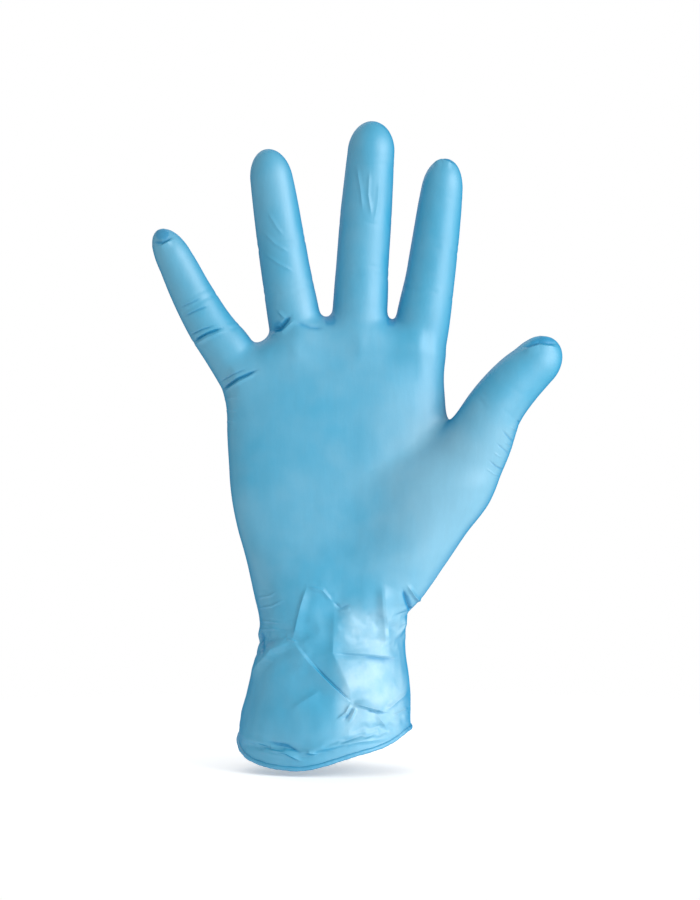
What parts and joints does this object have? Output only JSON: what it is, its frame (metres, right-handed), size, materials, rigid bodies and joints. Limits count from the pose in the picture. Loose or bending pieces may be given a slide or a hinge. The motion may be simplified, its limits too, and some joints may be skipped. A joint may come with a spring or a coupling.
{
  "type": "disposable glove",
  "caption": "Thin stretch-film disposable glove in its worn shape: hollow, open at a rolled cuff bead, with fingers, thumb, palm and wrist that fold at their crease lines.",
  "frame": {"origin": "centre of the flat stretched film across the palm, on its outer face", "axes": "+Z from the cuff towards the fingertips, +X towards the thumb, -Y out of the palm"},
  "size_m": [0.1517, 0.058, 0.2385],
  "materials": {
    "nitrile_film": "satin, slightly translucent stretched film",
    "rolled_bead": "satin, film rolled on itself"
  },
  "bodies": {
    "root": {"cuff_sleeve": "nitrile_film", "cuff_bead": "rolled_bead"},
    "wrist": {"wrist_band": "nitrile_film"},
    "palm": {"palm_shell": "nitrile_film"},
    "knuckles": {"knuckle_band": "nitrile_film"},
    "index_root": {"index_root": "nitrile_film"},
    "index_lower": {"index_lower": "nitrile_film"},
    "index_middle": {"index_middle": "nitrile_film"},
    "index_tip": {"index_tip": "nitrile_film"},
    "middle_root": {"middle_root": "nitrile_film"},
    "middle_lower": {"middle_lower": "nitrile_film"},
    "middle_middle": {"middle_middle": "nitrile_film"},
    "middle_tip": {"middle_tip": "nitrile_film"},
    "ring_root": {"ring_root": "nitrile_film"},
    "ring_lower": {"ring_lower": "nitrile_film"},
    "ring_middle": {"ring_middle": "nitrile_film"},
    "ring_tip": {"ring_tip": "nitrile_film"},
    "little_root": {"little_root": "nitrile_film"},
    "little_lower": {"little_lower": "nitrile_film"},
    "little_middle": {"little_middle": "nitrile_film"},
    "little_tip": {"little_tip": "nitrile_film"},
    "thumb_root": {"thumb_root": "nitrile_film"},
    "thumb_middle": {"thumb_middle": "nitrile_film"},
    "thumb_tip": {"thumb_tip": "nitrile_film"}
  },
  "joints": [
    {"name": "wrist_turn", "type": "hinge", "parent": "root", "child": "wrist", "pos_m": [-0.002, 0.0132, -0.071], "axis": [0, 1, 0], "range_deg": [-20, 15], "stiffness_Nm_per_rad": 0.02},
    {"name": "wrist_bend", "type": "hinge", "parent": "wrist", "child": "palm", "pos_m": [-0.002, 0.0132, -0.047], "axis": [1, 0, 0], "range_deg": [-40, 40], "stiffness_Nm_per_rad": 0.02},
    {"name": "palm_fold", "type": "hinge", "parent": "palm", "child": "knuckles", "pos_m": [-0.0005, 0.0067, 0.0264], "axis": [0.991, 0, 0.134], "range_deg": [0, 40], "stiffness_Nm_per_rad": 0.01},
    {"name": "index_spread", "type": "hinge", "parent": "knuckles", "child": "index_root", "pos_m": [0.03108, 0.01319, 0.05896], "axis": [0, -1, 0], "range_deg": [-4, 8], "stiffness_Nm_per_rad": 0.0005},
    {"name": "index_first_bend", "type": "hinge", "parent": "index_root", "child": "index_lower", "pos_m": [0.03233, 0.00876, 0.06671], "axis": [0.9871, 0, -0.1599], "range_deg": [0, 50], "stiffness_Nm_per_rad": 0.0005},
    {"name": "index_second_bend", "type": "hinge", "parent": "index_lower", "child": "index_middle", "pos_m": [0.03458, 0.00828, 0.08056], "axis": [0.9871, 0, -0.1599], "range_deg": [0, 90], "stiffness_Nm_per_rad": 0.0005},
    {"name": "index_third_bend", "type": "hinge", "parent": "index_middle", "child": "index_tip", "pos_m": [0.03754, 0.00669, 0.09883], "axis": [0.9871, 0, -0.1599], "range_deg": [0, 65], "stiffness_Nm_per_rad": 0.0005},
    {"name": "middle_spread", "type": "hinge", "parent": "knuckles", "child": "middle_root", "pos_m": [0.00793, 0.0132, 0.0613], "axis": [0, -1, 0], "range_deg": [-3, 3], "stiffness_Nm_per_rad": 0.0005},
    {"name": "middle_first_bend", "type": "hinge", "parent": "middle_root", "child": "middle_lower", "pos_m": [0.00859, 0.00861, 0.07182], "axis": [0.998, 0, -0.0628], "range_deg": [0, 50], "stiffness_Nm_per_rad": 0.0005},
    {"name": "middle_second_bend", "type": "hinge", "parent": "middle_lower", "child": "middle_middle", "pos_m": [0.00961, 0.00797, 0.08803], "axis": [0.998, 0, -0.0628], "range_deg": [0, 90], "stiffness_Nm_per_rad": 0.0005},
    {"name": "middle_third_bend", "type": "hinge", "parent": "middle_middle", "child": "middle_tip", "pos_m": [0.01095, 0.00625, 0.10938], "axis": [0.998, 0, -0.0628], "range_deg": [0, 65], "stiffness_Nm_per_rad": 0.0005},
    {"name": "ring_spread", "type": "hinge", "parent": "knuckles", "child": "ring_root", "pos_m": [-0.01619, 0.01318, 0.05934], "axis": [0, -1, 0], "range_deg": [-6, 4], "stiffness_Nm_per_rad": 0.0005},
    {"name": "ring_first_bend", "type": "hinge", "parent": "ring_root", "child": "ring_lower", "pos_m": [-0.01749, 0.00883, 0.06681], "axis": [0.9851, 0, 0.1719], "range_deg": [0, 50], "stiffness_Nm_per_rad": 0.0005},
    {"name": "ring_second_bend", "type": "hinge", "parent": "ring_lower", "child": "ring_middle", "pos_m": [-0.02007, 0.00824, 0.08156], "axis": [0.9851, 0, 0.1719], "range_deg": [0, 90], "stiffness_Nm_per_rad": 0.0005},
    {"name": "ring_third_bend", "type": "hinge", "parent": "ring_middle", "child": "ring_tip", "pos_m": [-0.02346, 0.0066, 0.10102], "axis": [0.9851, 0, 0.1719], "range_deg": [0, 65], "stiffness_Nm_per_rad": 0.0005},
    {"name": "little_spread", "type": "hinge", "parent": "knuckles", "child": "little_root", "pos_m": [-0.03957, 0.01316, 0.04709], "axis": [0, -1, 0], "range_deg": [-14, 4], "stiffness_Nm_per_rad": 0.0005},
    {"name": "little_first_bend", "type": "hinge", "parent": "little_root", "child": "little_lower", "pos_m": [-0.04209, 0.00903, 0.05127], "axis": [0.8572, 0, 0.515], "range_deg": [0, 50], "stiffness_Nm_per_rad": 0.0005},
    {"name": "little_second_bend", "type": "hinge", "parent": "little_lower", "child": "little_middle", "pos_m": [-0.04867, 0.00859, 0.06222], "axis": [0.8572, 0, 0.515], "range_deg": [0, 90], "stiffness_Nm_per_rad": 0.0005},
    {"name": "little_third_bend", "type": "hinge", "parent": "little_middle", "child": "little_tip", "pos_m": [-0.05735, 0.00721, 0.07666], "axis": [0.8572, 0, 0.515], "range_deg": [0, 65], "stiffness_Nm_per_rad": 0.0005},
    {"name": "thumb_spread", "type": "hinge", "parent": "palm", "child": "thumb_root", "pos_m": [0.05285, 0.0022, 0.01522], "axis": [0, 1, 0], "range_deg": [-25, 15], "stiffness_Nm_per_rad": 0.0005},
    {"name": "thumb_knuckle_bend", "type": "hinge", "parent": "thumb_root", "child": "thumb_middle", "pos_m": [0.05232, -0.00243, 0.0241], "axis": [0.5622, -0.766, -0.3116], "range_deg": [0, 40], "stiffness_Nm_per_rad": 0.0005},
    {"name": "thumb_tip_bend", "type": "hinge", "parent": "thumb_middle", "child": "thumb_tip", "pos_m": [0.05902, -0.0028, 0.03495], "axis": [0.52, -0.766, -0.3778], "range_deg": [0, 65], "stiffness_Nm_per_rad": 0.0005}
  ]
}
